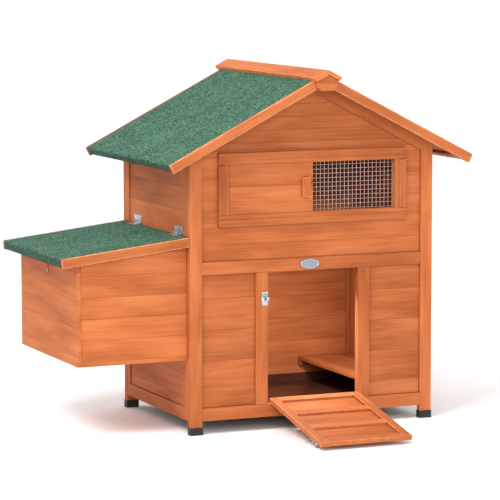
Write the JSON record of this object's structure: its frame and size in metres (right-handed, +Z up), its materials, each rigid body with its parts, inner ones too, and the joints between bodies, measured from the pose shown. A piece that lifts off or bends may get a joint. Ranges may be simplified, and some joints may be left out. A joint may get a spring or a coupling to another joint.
{
  "type": "chicken coop",
  "caption": "Small wooden hen house on four legs with a felted gable roof, side nest box with hinged lid, ramp door, sliding window board and pull-out tray.",
  "frame": {"origin": "on the ground, under the middle of the whole coop with its ramp open and its lid shut", "axes": "+X to the right seen from the front, away from the nest box; +Y from the door front to the back; +Z up"},
  "size_m": [1.232, 0.9906, 1.0313],
  "materials": {
    "frame_wood": "stained fir battens, satin clear coat",
    "panel_wood": "stained edge-glued fir boards, satin",
    "roof_felt": "green mineral roofing felt, matt and gritty",
    "zinc_steel": "bright zinc plate",
    "mesh_wire": "galvanised welded wire",
    "foot_plastic": "black moulded plastic",
    "tray_paint": "dark brown painted sheet",
    "badge_metal": "blank satin plate"
  },
  "bodies": {
    "house": {"leg_front_left": "frame_wood", "leg_front_right": "frame_wood", "leg_rear_left": "frame_wood", "leg_rear_right": "frame_wood", "front_bottom_rail": "frame_wood", "front_mid_rail": "frame_wood", "door_stiles": "frame_wood", "rake_battens": "frame_wood", "rear_rails": "frame_wood", "left_side_frame": "frame_wood", "right_side_frame": "frame_wood", "window_frame": "frame_wood", "eave_battens": "frame_wood", "front_barge_boards": "frame_wood", "rear_barge_boards": "frame_wood", "ridge_cap_boards": "frame_wood", "ridge_end_blocks": "frame_wood", "interior_cleats": "frame_wood", "perch_bar": "frame_wood", "perch_brackets": "frame_wood", "front_lower_panels": "panel_wood", "front_wall_panel": "panel_wood", "front_gable_panel": "panel_wood", "rear_lower_panel": "panel_wood", "rear_upper_panel": "panel_wood", "left_side_panel": "panel_wood", "right_side_panel": "panel_wood", "interior_shelf": "panel_wood", "nest_floor": "panel_wood", "nest_end_board": "panel_wood", "nest_sides": "panel_wood", "nest_divider": "panel_wood", "roof_board_left": "panel_wood", "roof_board_right": "panel_wood", "roof_felt_left": "roof_felt", "roof_felt_right": "roof_felt", "hinge_pins": "zinc_steel", "rail_hinge_leaves": "zinc_steel", "wall_hinge_leaves": "zinc_steel", "bolt_keeper": "zinc_steel", "hook_screw": "zinc_steel", "window_mesh": "mesh_wire", "foot_caps": "foot_plastic", "badge": "badge_metal"},
    "window_slide": {"slide_board": "panel_wood", "slide_handle": "frame_wood"},
    "nest_lid": {"lid_board": "panel_wood", "lid_felt": "roof_felt", "lid_edge_battens": "frame_wood", "lid_hinge_leaves": "zinc_steel", "lid_eye": "zinc_steel"},
    "lid_hook": {"latch_hook": "zinc_steel"},
    "ramp": {"ramp_frame": "frame_wood", "ramp_board": "panel_wood", "ramp_hinge_leaves": "zinc_steel", "bolt_plate": "zinc_steel"},
    "bolt": {"bolt_rod": "zinc_steel"},
    "tray": {"tray_pan": "tray_paint", "tray_front": "frame_wood"}
  },
  "joints": [
    {"name": "ramp_hinge", "type": "hinge", "parent": "house", "child": "ramp", "pos_m": [0.14498, -0.14017, 0.0775], "axis": [-1, 0, 0], "range_deg": [0, 101.1]},
    {"name": "bolt_slide", "type": "slide", "parent": "ramp", "child": "bolt", "axis": [1, 0, 0], "range_m": [0, 0.024]},
    {"name": "lid_hinge", "type": "hinge", "parent": "house", "child": "nest_lid", "pos_m": [-0.23382, 0.11933, 0.56796], "axis": [0, 1, 0], "range_deg": [0, 68]},
    {"name": "hook_swing", "type": "hinge", "parent": "house", "child": "lid_hook", "pos_m": [-0.56602, 0.12983, 0.48385], "axis": [1, 0, 0], "range_deg": [-165, 165]},
    {"name": "window_slide_travel", "type": "slide", "parent": "house", "child": "window_slide", "axis": [1, 0, 0], "range_m": [0, 0.268]},
    {"name": "tray_pull", "type": "slide", "parent": "house", "child": "tray", "axis": [1, 0, 0], "range_m": [0, 0.45]}
  ]
}
